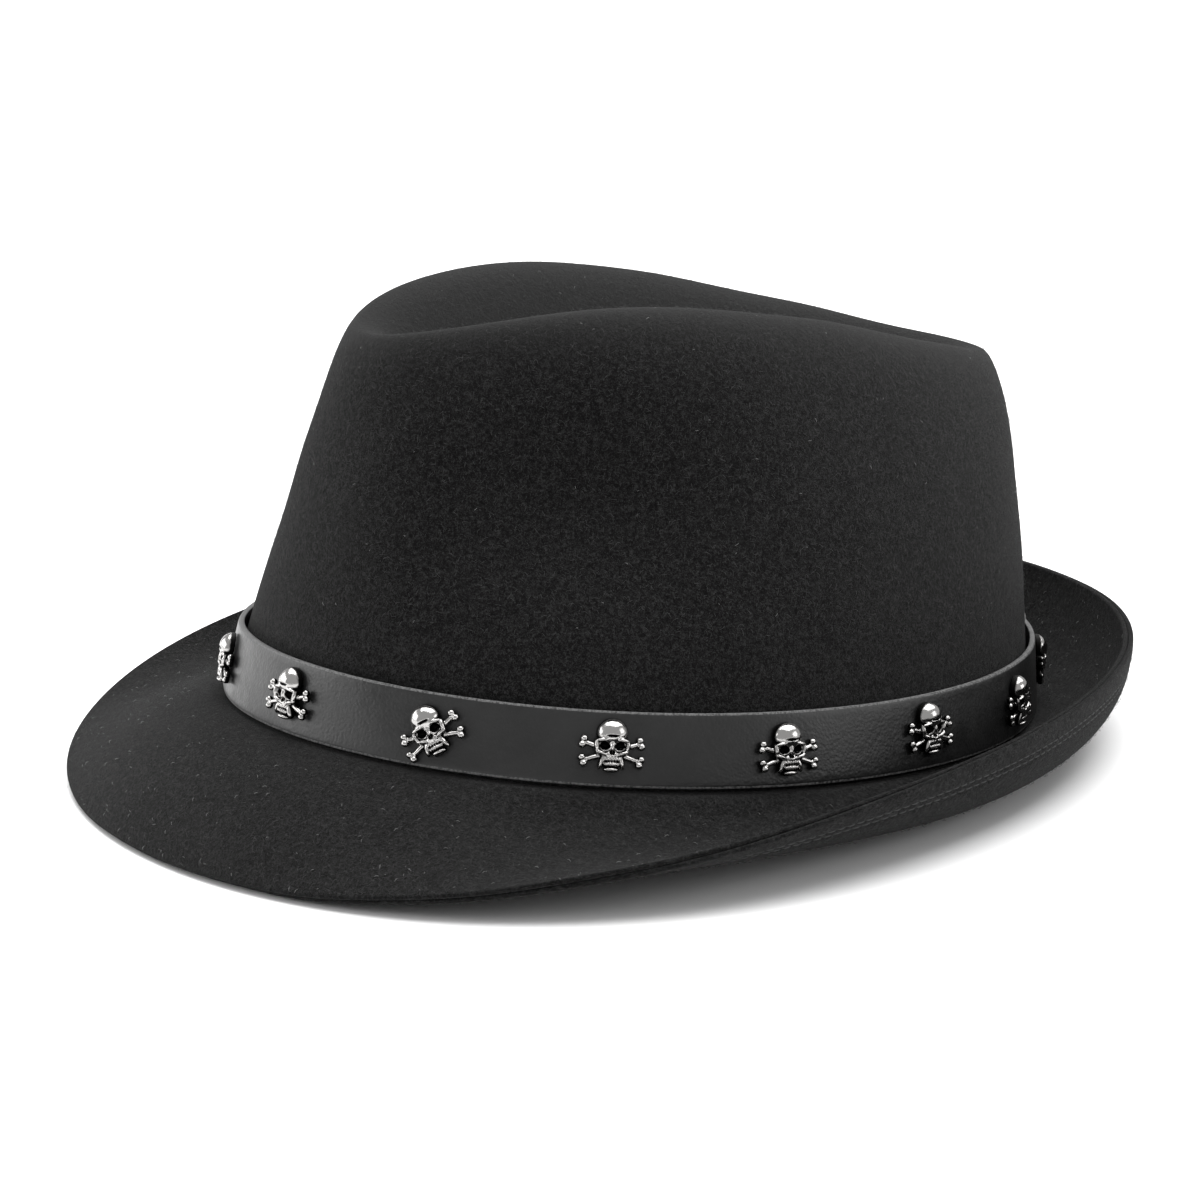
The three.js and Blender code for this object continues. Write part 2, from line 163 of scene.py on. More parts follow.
def outward(turn):
    return unit(stack(np.sin(turn) / BAND_HALF_WIDTH, -np.cos(turn) / BAND_HALF_LENGTH, 0))


def crest_point(turn):
    return stack(
        CREST_HALF_WIDTH * np.sin(turn),
        CREST_SET_BACK - CREST_HALF_LENGTH * np.cos(turn),
        waves(CREST_HEIGHT, turn),
    )


def wall_point(turn, up):
    """A point on the crown's wall, where up runs from 0 at its foot to 1 on the crest."""
    foot = oval_point(turn, CROWN_INSET)
    crest = crest_point(turn)
    taper = waves(WALL_TAPER, turn)
    shoulder = 1 - (1 - up ** SHOULDER_POWER) ** (1 / SHOULDER_POWER)
    inward = (taper * up + (1 - taper) * shoulder)[..., None]
    point = foot + (crest - foot) * inward
    point[..., 2] = foot[..., 2] + (crest[..., 2] - foot[..., 2]) * up
    from_front = np.abs(np.arctan2(np.sin(turn), np.cos(turn)))
    across = bell((from_front - PINCH_TURN) / PINCH_SPREAD)
    along = bell((up - PINCH_HEIGHT) / PINCH_TALL) * (1 - up ** PINCH_FADE)
    return point - outward(turn) * (PINCH_DEPTH * across * along)[..., None]


def valley_point(turn, sink):
    """A point inside the crest, where sink runs from 0 on the crest to 1 on the valley's floor line."""
    crest = crest_point(turn)
    floor = stack(0, CREST_SET_BACK - VALLEY_HALF_LENGTH * np.cos(turn), waves(VALLEY_HEIGHT, turn))
    point = crest + (floor - crest) * sink[..., None]
    drop = np.sin(sink * math.pi / 2) ** 2
    point[..., 2] = crest[..., 2] + (floor[..., 2] - crest[..., 2]) * drop
    return point


def brim_sections(turns, shares):
    """How far out and up the brim's face lies, at shares of its width from the crown's face to its rim."""
    fine = np.linspace(0, 1, 401)
    middles = (fine[1:] + fine[:-1]) / 2
    width = (waves(BRIM_WIDTH, turns) + CROWN_INSET)[:, None]
    start = np.radians(waves(BRIM_START_SLOPE, turns))[:, None]
    end = np.radians(waves(BRIM_END_SLOPE, turns))[:, None]
    slope = smooth_step(middles * width, 0, BREAK_BLEND) * (start + (end - start) * middles)
    step = width / len(middles)
    nothing = np.zeros((len(turns), 1))
    out = np.hstack([nothing, np.cumsum(step * np.cos(slope), axis=1)])
    up = np.hstack([nothing, np.cumsum(step * np.sin(slope), axis=1)])
    return [np.array([np.interp(shares, fine, row) for row in values]).T for values in (out, up)]


def span(line):
    """A line's length in metres, its points being in millimetres."""
    return float(np.linalg.norm(np.diff(line, axis=0), axis=1).sum()) * MM


def sheet_normals(points, closed=True, zipped=False):
    """A normal at each point of a grid, leaning the way that rows x columns gives."""
    ahead = np.roll(points, -1, axis=1)
    faces = np.cross(ahead[1:] - points[:-1], points[1:] - ahead[:-1])
    if not closed:
        faces[:, -1] = 0
    both = faces + np.roll(faces, 1, axis=1)
    normals = np.zeros_like(points)
    normals[:-1] += both
    normals[1:] += both
    if zipped:
        twins = (-np.arange(points.shape[1])) % points.shape[1]
        normals[-1] = normals[-1] + normals[-1][twins]
    return unit(normals)


# ---- the hatband's path -------------------------------------------------------------------------------

ARC_TURNS = np.linspace(0, FULL_TURN, 1441)
ARC_STEPS = np.linalg.norm(np.diff(oval_point(ARC_TURNS, 0), axis=0), axis=1)
ARC_TABLE = np.concatenate([[0], np.cumsum(ARC_STEPS)])
BAND_LENGTH = ARC_TABLE[-1]
JOINT_ARC = BAND_CREEP + BAND_LENGTH / 2


def turn_at(arc):
    laps = np.floor(arc / BAND_LENGTH)
    return np.interp(arc - laps * BAND_LENGTH, ARC_TABLE, ARC_TURNS) + FULL_TURN * laps


def band_point(turn, height):
    """A point on the slanting face that the band lies along."""
    low = wall_point(turn, np.zeros_like(turn))
    high = wall_point(turn, np.full_like(turn, BAND_LEAN))
    return low + unit(high - low) * (BAND_FOOT + height)


def band_place(arc, height):
    """The place of anything fixed to the band: x along it, y up its face and z outwards."""
    turns = turn_at(np.array([arc])) + np.array([-TURN_NUDGE, 0, TURN_NUDGE])
    before, origin, after = band_point(turns, height)
    along = unit(after - before)
    rising = band_point(turns, height + 1)[1] - origin
    out = unit(np.cross(along, rising))
    place = Matrix.Identity(4)
    for axis, vector in enumerate([along, np.cross(out, along), out, origin]):
        for row in range(3):
            place[row][axis] = vector[row]
    return place


def stud_place(index):
    stagger = STUD_STAGGER if index % 2 else -STUD_STAGGER
    arc = BAND_CREEP + (index - (STUD_COUNT - 1) / 2) * STUD_SPACING
    angle = TURNED_STUD_ANGLE if index == TURNED_STUD else 0
    return band_place(arc, STRAP_WIDTH / 2 + stagger) @ Matrix.Rotation(angle, 4, "Z")


# ---- from the hat's own axes to the frame -------------------------------------------------------------

joints = {joint["name"]: joint for joint in frame["joints"]}


def hat_placement():
    """The hat's tilt comes from the way its band lifts off, and its place from the first stud's hinge."""
    up = Vector(joints["hatband_lift"]["axis"]).normalized()
    left = Vector((1, 0, 0))
    turned = Matrix((left, up.cross(left), up)).transposed().to_4x4()
    first_stud = Vector(joints["stud_turn_01"]["pos_m"])
    origin = first_stud - turned @ (stud_place(0).translation * MM)
    return Matrix.Translation(origin) @ turned @ Matrix.Scale(MM, 4)


HAT_TO_FRAME = hat_placement()


def placed(points):
    """Points in the hat's millimetres, given in the frame's metres."""
    matrix = np.array(HAT_TO_FRAME)
    return points.reshape(-1, 3) @ matrix[:3, :3].T + matrix[:3, 3]


# ---- node materials -----------------------------------------------------------------------------------

class Nodes:
    """A material's node tree, with short calls for the nodes that are used here."""

    def __init__(self, name):
        self.material = bpy.data.materials.new(name)
        self.material.use_nodes = True
        self.tree = self.material.node_tree
        self.shader = self.tree.nodes["Principled BSDF"]
        self.place = self.add("ShaderNodeTexCoord").outputs["Object"]

    def add(self, kind, links=None, **settings):
        node = self.tree.nodes.new(kind)
        for name, value in settings.items():
            setattr(node, name, value)
        for socket, value in (links or {}).items():
            if isinstance(value, bpy.types.NodeSocket):
                self.tree.links.new(value, node.inputs[socket])
            else:
                node.inputs[socket].default_value = value
        return node

    def noise(self, size, detail=4.0, roughness=0.55, distortion=0.0):
        """Noise whose blobs are about size millimetres across."""
        node = self.add("ShaderNodeTexNoise", {
            "Vector": self.place, "Scale": 1 / (size * MM), "Detail": detail,
            "Roughness": roughness, "Distortion": distortion,
        })
        return node.outputs["Fac"]

    def cells(self, size, feature="F1"):
        node = self.add("ShaderNodeTexVoronoi", {"Vector": self.place, "Scale": 1 / (size * MM)},
                        feature=feature)
        return node.outputs["Distance"]

    def ramp(self, value, *stops):
        """A value or colour that follows another: stops are (position, grey or colour)."""
        node = self.add("ShaderNodeValToRGB", {"Fac": value})
        elements = node.color_ramp.elements
        while len(elements) < len(stops):
            elements.new(0.5)
        for element, (position, tone) in zip(elements, stops):
            element.position = position
            element.color = (*tone, 1) if isinstance(tone, tuple) else (tone, tone, tone, 1)
        return node.outputs["Color"]

    def blend(self, share, first, second, mode="MIX"):
        node = self.add("ShaderNodeMix", {"Factor": share, "A": first, "B": second},
                        data_type="RGBA", blend_type=mode)
        return node.outputs["Result"]

    def sum(self, *values, weights=None):
        total = None
        for value, weight in zip(values, weights or [1] * len(values)):
            links = {0: value, 1: weight, 2: 0.0 if total is None else total}
            total = self.add("ShaderNodeMath", links, operation="MULTIPLY_ADD").outputs["Value"]
        return total

    def attribute(self, name):
        return self.add("ShaderNodeAttribute", attribute_name=name).outputs["Fac"]

    def bump(self, height, depth, strength=1.0):
        """Raises the surface by height, of 0 to 1, times depth millimetres."""
        links = {"Height": height, "Distance": depth * MM, "Strength": strength}
        self.link("Normal", self.add("ShaderNodeBump", links).outputs["Normal"])

    def link(self, socket, value):
        self.tree.links.new(value, self.shader.inputs[socket])

    def settings(self, **values):
        for name, value in values.items():
            self.shader.inputs[name.replace("_", " ")].default_value = value


def grey(level, warmth=0.0):
    return (level * (1 + warmth), level, level * (1 - warmth), 1)


# How much the crest and valley are paled, partly as rubbed nap and partly as painted top light.
RUB_AND_TOP_LIGHT_SHARE = 0.7


def felt_material(name, base, light, fleck):
    """Wool felt: mottled, with paler fibre flecks, a soft nap, and a paler top: rubbed nap and painted top
    light.
    """
    nodes = Nodes(name)
    cloud = nodes.noise(26, detail=3)
    nap = nodes.noise(1.3, detail=6, roughness=0.75, distortion=0.6)
    hair = nodes.noise(0.5, detail=3, roughness=0.6, distortion=1.5)
    mottled = nodes.blend(nodes.ramp(cloud, (0.3, 0.0), (0.7, 1.0)), grey(base), grey(light))
    flecks = nodes.ramp(nodes.sum(nap, hair, weights=[0.4, 0.6]), (0.46, 0.0), (0.62, 1.0))
    napped = nodes.blend(flecks, mottled, grey(fleck))
    # Paler towards the fleck colour along the crest and valley: partly rubbed nap, partly painted light from
    # above.
    rub_and_top_light = nodes.sum(nodes.attribute("rub_and_top_light"), weights=[RUB_AND_TOP_LIGHT_SHARE])
    nodes.link("Base Color", nodes.blend(rub_and_top_light, napped, grey(fleck)))
    nodes.link("Roughness", nodes.ramp(nap, (0.3, 0.82), (0.7, 1.0)))
    nodes.bump(nodes.sum(nap, hair, weights=[0.65, 0.35]), 0.8, 1.0)
    nodes.settings(Sheen_Weight=0.06, Sheen_Roughness=0.4, Specular_IOR_Level=0.04)
    return nodes.material


def leather_material(name, base, worn, grain, raw=None):
    """Grained leather. Where the piece has an edge attribute, its cut edge shows pale rough fibre."""
    nodes = Nodes(name)
    pebbles = nodes.cells(grain, feature="SMOOTH_F1")
    creases = nodes.noise(grain * 2.2, detail=5, roughness=0.6)
    rub = nodes.noise(16, detail=4)
    colour = nodes.blend(nodes.ramp(rub, (0.4, 0.0), (0.75, 1.0)), grey(base), grey(worn))
    rough = nodes.ramp(nodes.sum(rub, creases, weights=[0.6, 0.4]), (0.3, 0.3), (0.7, 0.52))
    height = nodes.sum(pebbles, creases, weights=[0.5, 0.5])
    if raw is not None:
        torn = nodes.noise(0.6, detail=5, roughness=0.75)
        edge = nodes.sum(nodes.attribute("edge"), torn, weights=[0.5, 0.5])
        cut = nodes.ramp(edge, (0.7, 0.0), (0.78, 1.0))
        colour = nodes.blend(cut, colour, grey(raw))
        rough = nodes.blend(cut, rough, grey(0.85))
    nodes.link("Base Color", colour)
    nodes.link("Roughness", rough)
    nodes.bump(height, 0.2, 0.6)
    return nodes.material


def metal_material(name, tone, patina_and_shade_tone):
    """Plated cast metal: bright on the high parts, dull and dark with patina in the recesses and painted
    shade on the steep sides and low parts, finely scuffed.
    """
    nodes = Nodes(name)
    # The attribute holds patina in the recesses, and painted shade on the steep sides and the low parts.
    hollows = nodes.attribute("patina_and_shade")
    scuff = nodes.noise(1.1, detail=5, roughness=0.6)
    dark = nodes.ramp(nodes.sum(hollows, scuff, weights=[1.0, 0.35]), (0.3, 0.0), (0.52, 1.0))
    nodes.link("Base Color", nodes.blend(dark, grey(tone, 0.02), grey(patina_and_shade_tone, 0.04)))
    nodes.link("Roughness", nodes.blend(dark, grey(0.13), grey(0.55)))
    nodes.bump(scuff, 0.12, 0.5)
    nodes.settings(Metallic=1.0)
    return nodes.material


def cloth_material(name, base, light, thread, rough, sheen):
    """Fine woven cloth, seen as crossed threads."""
    nodes = Nodes(name)
    across = nodes.add("ShaderNodeTexWave", {"Vector": nodes.place, "Scale": 0.5 / (thread * MM)},
                       bands_direction="X").outputs["Fac"]
    along = nodes.add("ShaderNodeTexWave", {"Vector": nodes.place, "Scale": 0.5 / (thread * MM)},
                      bands_direction="Z").outputs["Fac"]
    slub = nodes.noise(6, detail=4)
    weave = nodes.sum(across, along, weights=[0.5, 0.5])
    nodes.link("Base Color", nodes.blend(nodes.sum(weave, slub, weights=[0.4, 0.6]), grey(base), grey(light)))
    nodes.link("Roughness", nodes.ramp(slub, (0.3, rough), (0.7, rough + 0.15)))
    nodes.bump(weave, 0.08, 0.5)
    nodes.settings(Sheen_Weight=sheen, Sheen_Roughness=0.4)
    return nodes.material


def thread_material(name, base, light):
    nodes = Nodes(name)
    twist = nodes.noise(0.4, detail=2)
    nodes.link("Base Color", nodes.blend(twist, grey(base), grey(light)))
    nodes.link("Roughness", nodes.ramp(twist, (0.3, 0.6), (0.7, 0.85)))
    nodes.bump(twist, 0.1, 0.6)
    return nodes.material


def floor_material():
    nodes = Nodes("pale_floor")
    cloud = nodes.noise(400, detail=2)
    nodes.link("Base Color", nodes.blend(cloud, grey(0.93), grey(0.96)))
    nodes.link("Roughness", nodes.ramp(cloud, (0.3, 0.7), (0.7, 0.8)))
    return nodes.material


FELT = felt_material("felt", 0.0025, 0.0045, 0.029)
FELT_FIBRE = thread_material("felt_fibre", 0.015, 0.06)
LINT = thread_material("lint", 0.2, 0.4)
STITCH = thread_material("stitch_thread", 0.02, 0.04)
STIFFENER = cloth_material("stiffener", 0.02, 0.035, 0.8, 0.8, 0.1)
SATIN = cloth_material("satin_lining", 0.01, 0.02, 0.25, 0.32, 0.5)
LABEL = cloth_material("label_cloth", 0.04, 0.07, 0.4, 0.6, 0.2)
REED = thread_material("reed_cord", 0.02, 0.04)
STRAP = leather_material("strap_leather", 0.005, 0.009, 0.7, raw=0.13)
SWEATBAND = leather_material("sweatband_leather", 0.012, 0.02, 1.0, raw=0.07)
STUD_METAL = metal_material("stud_metal", 0.42, 0.004)
RIVET_METAL = metal_material("rivet_metal", 0.25, 0.03)


# ---- meshes -------------------------------------------------------------------------------------------

def add_object(name, mesh, material, body):
    for polygon in mesh.polygons:
        polygon.use_smooth = True
    mesh.materials.append(material)
    piece = bpy.data.objects.new(name, mesh)
    bpy.context.scene.collection.objects.link(piece)
    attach(piece, body)
    return piece


def mesh_from(name, points, faces):
    mesh = bpy.data.meshes.new(name)
    mesh.from_pydata(points.tolist(), [], faces.tolist())
    mesh.validate()
    return mesh


def welded(mesh):
    """Joins the points that coincide, as along the valley's centre line, and turns every face outwards."""
    working = bmesh.new()
    working.from_mesh(mesh)
    bmesh.ops.remove_doubles(working, verts=working.verts, dist=WELD * MM)
    bmesh.ops.recalc_face_normals(working, faces=working.faces)
    working.to_mesh(mesh)
    working.free()
    return mesh


def set_attribute(mesh, name, values):
    attribute = mesh.attributes.new(name, "FLOAT", "POINT")
    attribute.data.foreach_set("value", np.asarray(values, dtype=np.float32).ravel())


def grid_faces(rows, columns, closed_rows, closed_columns):
    """Four-sided faces of a grid of points, with either direction joined up end to end."""
    row = np.arange(rows if closed_rows else rows - 1)[:, None]
    column = np.arange(columns if closed_columns else columns - 1)[None, :]
    up = (row + 1) % rows
    across = (column + 1) % columns
    corners = [row * columns + column, row * columns + across, up * columns + across, up * columns + column]
    return np.stack(np.broadcast_arrays(*corners), axis=-1).reshape(-1, 4)


RIM_ROUNDS = 5


def rounded_section(points, normals, near, far, bulge):
    """The closed section of a sheet given thickness: its outer face, rim, inner face and foot.

    near and far are distances along the normals, one for each row or one for all of them."""
    rows = len(points)
    near = np.broadcast_to(np.asarray(near, dtype=float).reshape(-1, 1, 1), (rows, 1, 1))
    far = np.broadcast_to(np.asarray(far, dtype=float).reshape(-1, 1, 1), (rows, 1, 1))
    outer = points + normals * far
    inner = points + normals * near

    def rim(row, beside):
        outwards = unit(points[row] - points[beside])
        middle = points[row] + normals[row] * (near[row] + far[row]) / 2
        half = (far[row] - near[row]) / 2
        angles = np.linspace(0, math.pi, RIM_ROUNDS + 2)[1:-1]
        return [middle + normals[row] * half * math.cos(a) + outwards * abs(half) * 2 * bulge * math.sin(a)
                for a in angles]

    foot = rim(0, 1)[::-1]
    return np.array([*outer, *rim(rows - 1, rows - 2), *inner[::-1], *foot])


def add_sheet(name, points, normals, near, far, material, body, closed=True, bulge=0.4, edge=None):
    """A sheet with thickness and round edges. edge is how far, in rows, its cut edge shows on its face."""
    section = rounded_section(points, normals, near, far, bulge)
    rows, columns = section.shape[:2]
    faces = grid_faces(rows, columns, True, closed)
    if not closed:
        ring = np.arange(rows) * columns
        ends = [ring[::-1].tolist(), (ring + columns - 1).tolist()]
        mesh = bpy.data.meshes.new(name)
        mesh.from_pydata(placed(section).tolist(), [], faces.tolist() + ends)
    else:
        mesh = mesh_from(name, placed(section), faces)
    if edge is not None:
        shown = np.ones((rows, columns))
        count = len(points)
        shown[edge:count - edge] = 0
        shown[-count - RIM_ROUNDS + edge:-RIM_ROUNDS - edge] = 0
        if not closed:
            shown[:, :2] = 1
            shown[:, -2:] = 1
        set_attribute(mesh, "edge", shown)
    return add_object(name, mesh, material, body)


THREAD_BENDS = 3
THREAD_TIP = 0.35


def capsules(starts, ends, normals, radius, bow, sides=5):
    """Short threads between pairs of points, bowed outwards along their normals, as one mesh's data."""
    along = unit(ends - starts)
    side = unit(np.cross(along, normals))
    shares = np.linspace(0, 1, THREAD_BENDS + 1)
    rings = []
    for share in shares:
        middle = starts + (ends - starts) * share + normals * (bow * math.sin(math.pi * share))[..., None]
        fullness = math.sin(math.pi * min(max(share, 0.08), 0.92)) ** 0.5
        thick = (radius * (THREAD_TIP + (1 - THREAD_TIP) * fullness))[..., None]
        for step in range(sides):
            angle = FULL_TURN * step / sides
            rings.append(middle + side * thick * math.cos(angle) + normals * thick * math.sin(angle))
    points = np.stack(rings, axis=1)
    tube = grid_faces(THREAD_BENDS + 1, sides, False, True)
    count = points.shape[1]
    faces = (tube[None] + (np.arange(len(points)) * count)[:, None, None]).reshape(-1, 4)
    return points.reshape(-1, 3), faces


# ---- the felt crown -----------------------------------------------------------------------------------

def undulation(points, size, height):
    """A slow, uneven swell over a surface, as hand blocking leaves."""
    x, y, z = (points[..., axis] / size for axis in range(3))
    first = np.sin(2.1 * x + 1.3 * y + 0.4)
    second = np.sin(1.7 * y - 2.3 * z + 1.9)
    third = np.sin(1.1 * x + 2.7 * z + 4.0)
    return height * (first + second + third) / 3


def crown_surface():
    turns = np.linspace(0, FULL_TURN, COLUMNS, endpoint=False)[None, :]
    shares = np.linspace(0, 1, WALL_ROWS + 1)
    ups = (np.sin(shares * math.pi / 2) ** (2 / SHOULDER_POWER))[:, None]
    wall = wall_point(*np.broadcast_arrays(turns, ups))
    sinks = np.linspace(0, 1, VALLEY_ROWS + 1)[1:, None]
    valley = valley_point(*np.broadcast_arrays(turns, sinks))
    points = np.concatenate([wall, valley])
    normals = sheet_normals(points, zipped=True)
    normals[0, :, 2] = 0
    normals[0] = unit(normals[0])
    return points, normals


crown, crown_normals = crown_surface()


CROWN_SWELL = 0.35
CROWN_SWELL_SIZE = 14
CROWN_FADE_ROWS = [6, 20]
CREST_RUB_AND_LIGHT_ROWS = 9
VALLEY_TOP_LIGHT = 0.7


def add_crown():
    rows = np.arange(len(crown))
    fade = smooth_step(rows, *CROWN_FADE_ROWS)[:, None, None]
    swell = undulation(crown, CROWN_SWELL_SIZE, CROWN_SWELL)[..., None] * fade
    face = crown + crown_normals * swell
    face[-1, :, 0] = 0
    normals = sheet_normals(face, zipped=True)
    normals[0] = crown_normals[0]
    inner = (face - normals * CROWN_FELT)[::-1]
    section = np.concatenate([inner, face])
    faces = grid_faces(len(section), COLUMNS, False, True)
    # Paler felt along the crest, partly rubbed nap and partly painted light on the upward-facing top; the
    # whole valley gets painted top light.
    crest = bell((rows - WALL_ROWS) / CREST_RUB_AND_LIGHT_ROWS)
    rub_and_top_light = np.maximum(crest, VALLEY_TOP_LIGHT * smooth_step(rows, WALL_ROWS, WALL_ROWS + 4))
    mesh = mesh_from("crown_felt_shell", placed(section), faces)
    set_attribute(mesh, "rub_and_top_light", np.repeat(np.concatenate([np.zeros_like(rub_and_top_light), rub_and_top_light]), COLUMNS))
    mesh = welded(mesh)
    piece = add_object("crown_felt_shell", mesh, FELT, "hat")
    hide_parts("crown_felt")
    return face, normals


# ---- the brim -----------------------------------------------------------------------------------------

RIM_ROWS = 18
RIM_DEPTH = 9.0
HEM_LINES = [4.6, 6.2]
GROOVE_DEPTH = 0.3
GROOVE_HALF_WIDTH = 0.5
CORE_EDGE = [2.2, 3.4]
CORE_SHORT_BY = 7
PLY_GAP = 0.06
BRIM_SWELL = 0.35
BRIM_SWELL_SIZE = 17
BRIM_FADE_ROWS = [6, 30]


def brim_surface():
    """The brim's upper face, with its last rows close together near the rim."""
    turns = np.linspace(0, FULL_TURN, COLUMNS, endpoint=False)
    narrow = 1 - RIM_DEPTH / waves(BRIM_WIDTH, 0)
    shares = np.concatenate([np.linspace(0, narrow, 30)[:-1], np.linspace(narrow, 1, RIM_ROWS + 1)])
    out, up = brim_sections(turns, shares)
    foot = oval_point(turns, CROWN_INSET)
    away = outward(turns)
    rings = foot[None] + away[None] * out[..., None] + np.array([0, 0, 1.0]) * up[..., None]
    under_wall = oval_point(turns, CROWN_INSET + CROWN_FELT)[None]
    points = np.concatenate([under_wall, rings])
    fade = smooth_step(np.arange(len(points)), *BRIM_FADE_ROWS)[:, None]
    points[..., 2] += (undulation(points, BRIM_SWELL_SIZE, BRIM_SWELL) + BRIM_SWELL) * fade
    return points, sheet_normals(points)


STITCH_SHARE = 0.78


def sampled(line, length, at):
    """Points or normals along a line, at distances measured along it."""
    return np.stack([np.interp(at, length, line[:, axis]) for axis in range(3)], axis=-1)


def add_stitches(name, points, normals, pitch, radius, sink):
    """Thread dashes along a closed line of points, each one dipping into the felt at its ends."""
    steps = np.linalg.norm(np.diff(np.concatenate([points, points[:1]]), axis=0), axis=1)
    length = np.concatenate([[0], np.cumsum(steps)])
    count = int(length[-1] / pitch)
    places = np.arange(count) * length[-1] / count
    looped = np.concatenate([points, points[:1]])
    looped_normals = np.concatenate([normals, normals[:1]])
    starts = sampled(looped, length, places)
    ends = sampled(looped, length, places + pitch * STITCH_SHARE)
    leaning = unit(sampled(looped_normals, length, places))
    threads, faces = capsules(starts - leaning * sink, ends - leaning * sink, leaning,
                              np.full(count, radius), np.full(count, sink * 1.6))
    mesh = mesh_from(name, placed(threads), faces)
    piece = add_object(name, mesh, STITCH, "hat")


def add_brim():
    points, normals = brim_surface()
    rows = len(points)
    # The sheet's normals face down, so distances along them grow from the upper face downwards.
    near_rim = np.linspace(RIM_DEPTH, 0, RIM_ROWS + 1)
    to_rim = np.concatenate([np.full(rows - RIM_ROWS - 1, RIM_DEPTH), near_rim])
    middle = BRIM_THICKNESS / 2
    half_core = (BRIM_STIFFENER / 2 + 0.05) * smooth_step(to_rim, *CORE_EDGE) + PLY_GAP
    grooves = sum(GROOVE_DEPTH * bell((to_rim - line) / GROOVE_HALF_WIDTH) for line in HEM_LINES)
    upper = add_sheet("brim_upper_ply", points, normals, middle - half_core, 0, FELT, "hat")
    lower = add_sheet("brim_lower_ply", points, normals, middle + half_core, BRIM_THICKNESS - grooves,
                      FELT, "hat")
    core_rows = rows - CORE_SHORT_BY
    core = add_sheet("brim_stiffener_cloth", points[:core_rows], normals[:core_rows],
                     middle - BRIM_STIFFENER / 2, middle + BRIM_STIFFENER / 2, STIFFENER, "hat")
    for piece, node, slot in ((upper, "brim_upper_felt", "felt"), (lower, "brim_lower_felt", "felt"),
                              (core, "brim_stiffener", "stiffener")):
        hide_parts(node)
    hole = (np.ptp(points[0, :, 0]) * MM, np.ptp(points[0, :, 1]) * MM)
    cut = (hole[0] + 2 * span(points[:core_rows, QUARTER]), hole[1] + 2 * span(points[:core_rows, 0]))
    for number, line in enumerate(HEM_LINES):
        share = np.interp(-line, -to_rim, np.arange(rows))
        low = int(share)
        part = share - low
        face = points + normals * (BRIM_THICKNESS - grooves)[:, None, None]
        seam = face[low] * (1 - part) + face[low + 1] * part
        add_stitches(f"brim_stitches_{number + 1}", seam, normals[low],
                     pitch=2.6, radius=0.19, sink=0.08)
    return points, normals


# ---- inside the hat -----------------------------------------------------------------------------------

SWEATBAND_HANG = 0.9
SWEATBAND_TOP = 0.3
REED_RADIUS = 0.9
REED_SIDES = 10
LABEL_HALF_ANGLE = 0.12
LABEL_RISE = [0.07, 0.2]
LINING_FOOT_ROW = int(WALL_ROWS * 0.1)
SEAM_ROW = int(WALL_ROWS * 0.8)
GATHER_DEPTH = 0.28
GATHERS = [46, 29]
LINING_EASE = 0.6
TIP_TUCK = 0.3
SEAM_PROUD = 0.3
SWEATBAND_ROWS = 13
WRINKLES = [(0.12, 33, 0.7), (0.08, 57, 0)]
LABEL_ROWS = 11
LABEL_COLUMNS = 25


def add_lining():
    """A side panel of satin with soft gathers, and an oval tip, seamed below the shoulder."""
    panel = crown[LINING_FOOT_ROW:SEAM_ROW + 1]
    leaning = crown_normals[LINING_FOOT_ROW:SEAM_ROW + 1]
    turns = np.linspace(0, FULL_TURN, COLUMNS, endpoint=False)
    rise = np.linspace(0, 1, len(panel))[:, None]
    folds = np.sin(GATHERS[0] * turns) + np.sin(GATHERS[1] * turns + 1.0)
    gathers = GATHER_DEPTH * folds[None, :] * np.sin(math.pi * rise)
    soft = panel - leaning * (LINING_EASE + gathers)[..., None]
    side = add_sheet("lining_side_cloth", soft, leaning, LINING_TO - LINING_CLOTH, LINING_TO, SATIN, "hat")
    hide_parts("lining_side_panel")
    span(soft[0])
    span(soft[:, 0])

    top = crown[SEAM_ROW:].copy()
    top_normals = crown_normals[SEAM_ROW:]
    top[0] = top[0] + (top[1] - top[0]) * TIP_TUCK
    under = top + top_normals * (LINING_TO - LINING_CLOTH)
    over = top + top_normals * LINING_TO
    section = np.concatenate([under[::-1], over])
    faces = grid_faces(len(section), COLUMNS, False, True)
    mesh = welded(mesh_from("lining_tip_cloth", placed(section), faces))
    tip = add_object("lining_tip_cloth", mesh, SATIN, "hat")
    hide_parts("lining_tip")
    cut = (span(under[:, QUARTER]) + span(under[:, -QUARTER]), np.ptp(under[..., 1]) * MM)

    seam = crown[SEAM_ROW] + crown_normals[SEAM_ROW] * (LINING_TO - LINING_CLOTH - SEAM_PROUD)
    add_stitches("lining_seam_stitches", seam, -crown_normals[SEAM_ROW],
                 pitch=3.2, radius=0.2, sink=0.1)


